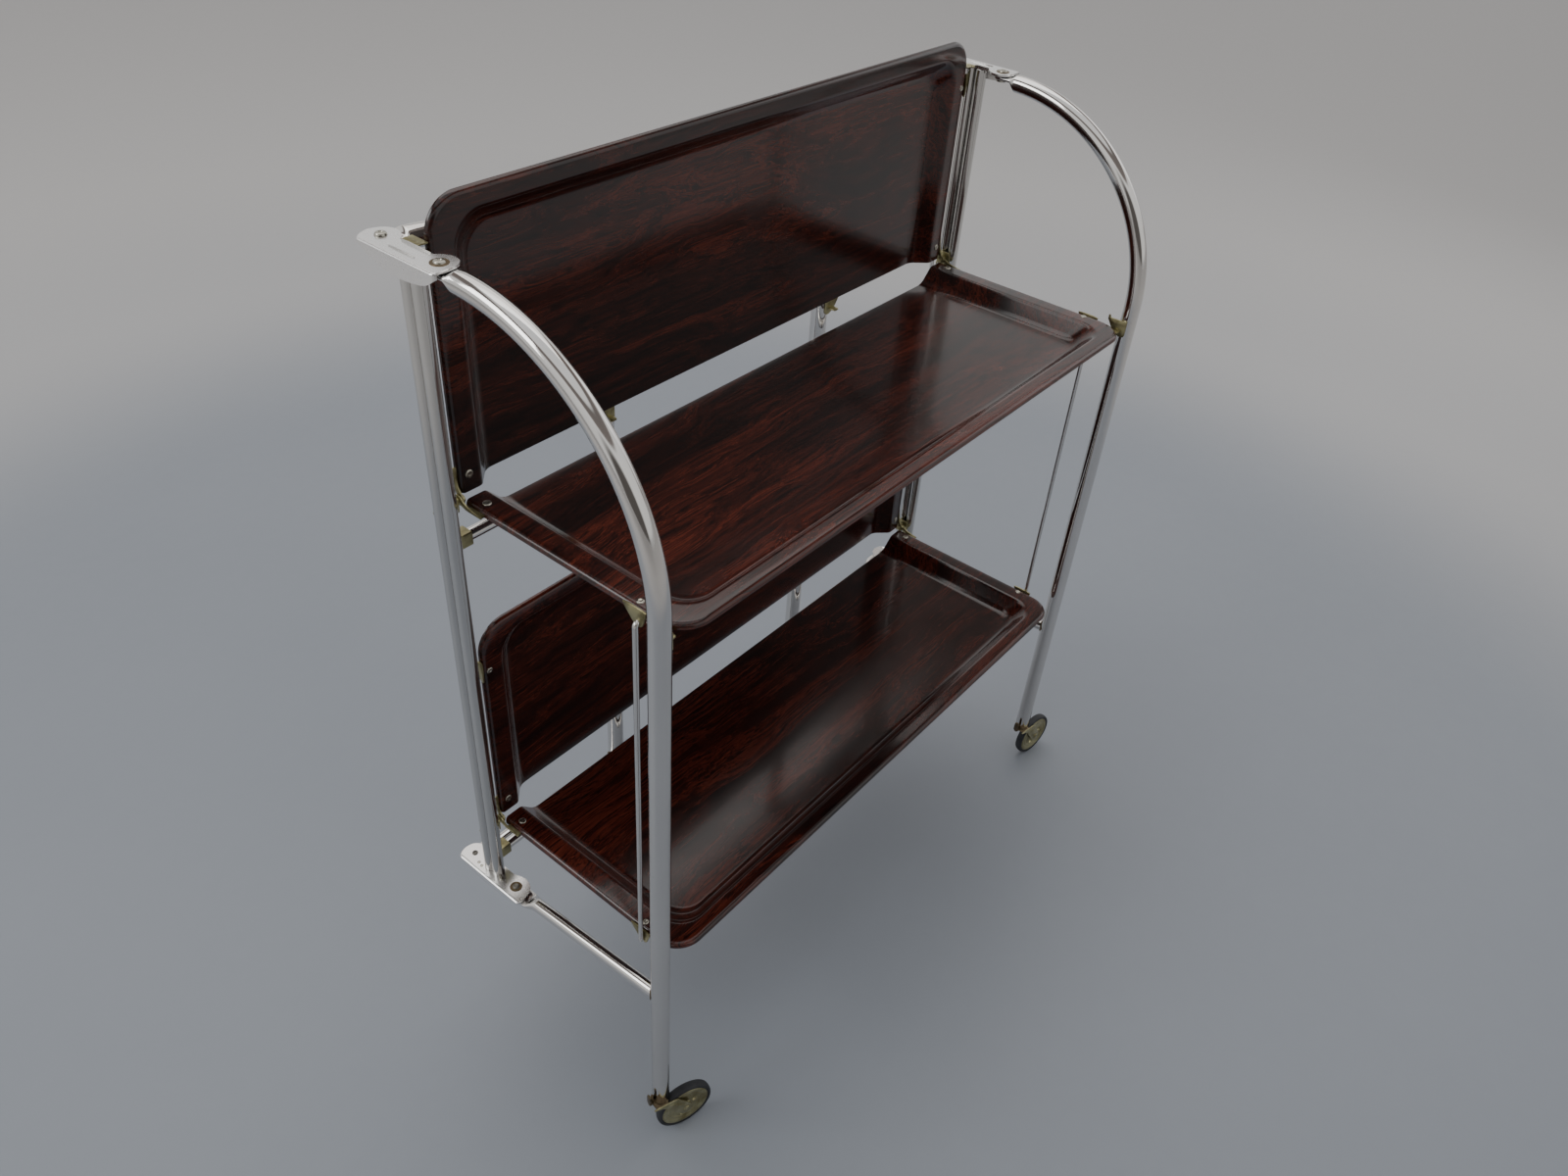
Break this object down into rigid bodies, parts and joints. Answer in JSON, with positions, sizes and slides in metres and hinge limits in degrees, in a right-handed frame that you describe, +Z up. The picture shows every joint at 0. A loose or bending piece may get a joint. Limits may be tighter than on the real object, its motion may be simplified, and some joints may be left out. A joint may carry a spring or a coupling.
{
  "type": "tea cart",
  "caption": "Folding tea cart with hinged dark laminate trays on two levels, chromed tube gates that swing on end posts, brass fittings and small castors.",
  "frame": {"origin": "on the floor, in the middle of the central frame formed by the two pairs of end posts", "axes": "+Z up, +X along the cart to its right-hand end, -Y to the front, where the open gates and lowered trays are"},
  "size_m": [0.7101, 0.2731, 0.8168],
  "materials": {
    "chrome": "bright plated tube",
    "brass": "dull brass-plated stampings",
    "laminate": "glossy dark rosewood-grain laminate",
    "rubber": "matt dark grey"
  },
  "bodies": {
    "frame": {"end_post_left": "chrome", "top_bracket_left": "chrome", "bottom_bracket_left": "chrome", "end_post_right": "chrome", "top_bracket_right": "chrome", "bottom_bracket_right": "chrome", "upper_stretcher": "chrome", "lower_stretcher": "chrome", "hinge_plate_upper_left": "brass", "hinge_plate_upper_right": "brass", "hinge_plate_lower_left": "brass", "hinge_plate_lower_right": "brass"},
    "gate_front_left": {"gate_leg_front_left": "chrome", "gate_bar_front_left": "chrome", "leaf_support_front_left": "brass"},
    "castor_front_left": {"castor_fork_front_left": "brass"},
    "wheel_front_left": {"castor_hub_front_left": "brass", "castor_tyre_front_left": "rubber"},
    "gate_front_right": {"gate_leg_front_right": "chrome", "gate_bar_front_right": "chrome", "leaf_support_front_right": "brass"},
    "castor_front_right": {"castor_fork_front_right": "brass"},
    "wheel_front_right": {"castor_hub_front_right": "brass", "castor_tyre_front_right": "rubber"},
    "gate_rear_left": {"gate_leg_rear_left": "chrome", "gate_bar_rear_left": "chrome", "leaf_support_rear_left": "brass"},
    "castor_rear_left": {"castor_fork_rear_left": "brass"},
    "wheel_rear_left": {"castor_hub_rear_left": "brass", "castor_tyre_rear_left": "rubber"},
    "gate_rear_right": {"gate_leg_rear_right": "chrome", "gate_bar_rear_right": "chrome", "leaf_support_rear_right": "brass"},
    "castor_rear_right": {"castor_fork_rear_right": "brass"},
    "wheel_rear_right": {"castor_hub_rear_right": "brass", "castor_tyre_rear_right": "rubber"},
    "leaf_front_upper": {"leaf_front_upper": "laminate", "hinge_lug_front_upper_left": "brass", "rod_lug_front_upper_left": "brass", "hinge_lug_front_upper_right": "brass", "rod_lug_front_upper_right": "brass"},
    "leaf_front_lower": {"leaf_front_lower": "laminate", "hinge_lug_front_lower_left": "brass", "rod_lug_front_lower_left": "brass", "hinge_lug_front_lower_right": "brass", "rod_lug_front_lower_right": "brass"},
    "leaf_rear_upper": {"leaf_rear_upper": "laminate", "hinge_lug_rear_upper_left": "brass", "rod_lug_rear_upper_left": "brass", "hinge_lug_rear_upper_right": "brass", "rod_lug_rear_upper_right": "brass"},
    "leaf_rear_lower": {"leaf_rear_lower": "laminate", "hinge_lug_rear_lower_left": "brass", "rod_lug_rear_lower_left": "brass", "hinge_lug_rear_lower_right": "brass", "rod_lug_rear_lower_right": "brass"},
    "tie_rod_front_left": {"tie_rod_front_left": "chrome"},
    "tie_rod_front_right": {"tie_rod_front_right": "chrome"},
    "tie_rod_rear_left": {"tie_rod_rear_left": "chrome"},
    "tie_rod_rear_right": {"tie_rod_rear_right": "chrome"}
  },
  "joints": [
    {"name": "leaf_front_upper_hinge", "type": "hinge", "parent": "frame", "child": "leaf_front_upper", "pos_m": [0, 0, 0.6012], "axis": [-1, 0, 0], "range_deg": [0, 90]},
    {"name": "leaf_front_lower_hinge", "type": "hinge", "parent": "frame", "child": "leaf_front_lower", "pos_m": [0, 0, 0.2581], "axis": [-1, 0, 0], "range_deg": [0, 90]},
    {"name": "leaf_rear_upper_hinge", "type": "hinge", "parent": "frame", "child": "leaf_rear_upper", "pos_m": [0, 0, 0.6012], "axis": [-1, 0, 0], "range_deg": [0, 0.5]},
    {"name": "leaf_rear_lower_hinge", "type": "hinge", "parent": "frame", "child": "leaf_rear_lower", "pos_m": [0, 0, 0.2581], "axis": [-1, 0, 0], "range_deg": [0, 0.5]},
    {"name": "tie_rod_front_left_pivot", "type": "hinge", "parent": "leaf_front_upper", "child": "tie_rod_front_left", "pos_m": [-0.3101, -0.177, 0.59], "axis": [-1, 0, 0], "range_deg": [-90, 0]},
    {"name": "tie_rod_front_right_pivot", "type": "hinge", "parent": "leaf_front_upper", "child": "tie_rod_front_right", "pos_m": [0.3101, -0.177, 0.59], "axis": [-1, 0, 0], "range_deg": [-90, 0]},
    {"name": "tie_rod_rear_left_pivot", "type": "hinge", "parent": "leaf_rear_upper", "child": "tie_rod_rear_left", "pos_m": [-0.3101, 0.0112, 0.7782], "axis": [-1, 0, 0], "range_deg": [-0.5, 0]},
    {"name": "tie_rod_rear_right_pivot", "type": "hinge", "parent": "leaf_rear_upper", "child": "tie_rod_rear_right", "pos_m": [0.3101, 0.0112, 0.7782], "axis": [-1, 0, 0], "range_deg": [-0.5, 0]},
    {"name": "gate_front_left_pivot", "type": "hinge", "parent": "frame", "child": "gate_front_left", "pos_m": [-0.324, -0.0285, 0.5], "axis": [0, 0, 1], "range_deg": [0, 0.6]},
    {"name": "castor_front_left_swivel", "type": "hinge", "parent": "gate_front_left", "child": "castor_front_left", "pos_m": [-0.324, -0.2095, 0.06], "axis": [0, 0, 1], "continuous": true},
    {"name": "wheel_front_left_axle", "type": "hinge", "parent": "castor_front_left", "child": "wheel_front_left", "pos_m": [-0.30502, -0.22044, 0.0275], "axis": [0.324, 0.946, 0], "continuous": true},
    {"name": "gate_front_right_pivot", "type": "hinge", "parent": "frame", "child": "gate_front_right", "pos_m": [0.324, -0.0285, 0.5], "axis": [0, 0, -1], "range_deg": [0, 0.6]},
    {"name": "castor_front_right_swivel", "type": "hinge", "parent": "gate_front_right", "child": "castor_front_right", "pos_m": [0.324, -0.2095, 0.06], "axis": [0, 0, 1], "continuous": true},
    {"name": "wheel_front_right_axle", "type": "hinge", "parent": "castor_front_right", "child": "wheel_front_right", "pos_m": [0.34463, -0.21687, 0.0275], "axis": [0.1494, 0.9888, 0], "continuous": true},
    {"name": "gate_rear_left_pivot", "type": "hinge", "parent": "frame", "child": "gate_rear_left", "pos_m": [-0.324, 0.0285, 0.5], "axis": [0, 0, 1], "range_deg": [0, 90]},
    {"name": "castor_rear_left_swivel", "type": "hinge", "parent": "gate_rear_left", "child": "castor_rear_left", "pos_m": [-0.143, 0.0285, 0.06], "axis": [0, 0, 1], "continuous": true},
    {"name": "wheel_rear_left_axle", "type": "hinge", "parent": "castor_rear_left", "child": "wheel_rear_left", "pos_m": [-0.12109, 0.02865, 0.0275], "axis": [-0.1987, 0.9801, 0], "continuous": true},
    {"name": "gate_rear_right_pivot", "type": "hinge", "parent": "frame", "child": "gate_rear_right", "pos_m": [0.324, 0.0285, 0.5], "axis": [0, 0, -1], "range_deg": [0, 90]},
    {"name": "castor_rear_right_swivel", "type": "hinge", "parent": "gate_rear_right", "child": "castor_rear_right", "pos_m": [0.143, 0.0285, 0.06], "axis": [0, 0, 1], "continuous": true},
    {"name": "wheel_rear_right_axle", "type": "hinge", "parent": "castor_rear_right", "child": "wheel_rear_right", "pos_m": [0.16397, 0.02218, 0.0275], "axis": [0.0998, 0.995, 0], "continuous": true}
  ],
  "couplings": [
    {"joint": "leaf_front_lower_hinge", "follows": "leaf_front_upper_hinge", "ratio": 1},
    {"joint": "leaf_rear_lower_hinge", "follows": "leaf_rear_upper_hinge", "ratio": 1},
    {"joint": "tie_rod_front_left_pivot", "follows": "leaf_front_upper_hinge", "ratio": -1},
    {"joint": "tie_rod_front_right_pivot", "follows": "leaf_front_upper_hinge", "ratio": -1},
    {"joint": "tie_rod_rear_left_pivot", "follows": "leaf_rear_upper_hinge", "ratio": -1},
    {"joint": "tie_rod_rear_right_pivot", "follows": "leaf_rear_upper_hinge", "ratio": -1}
  ]
}
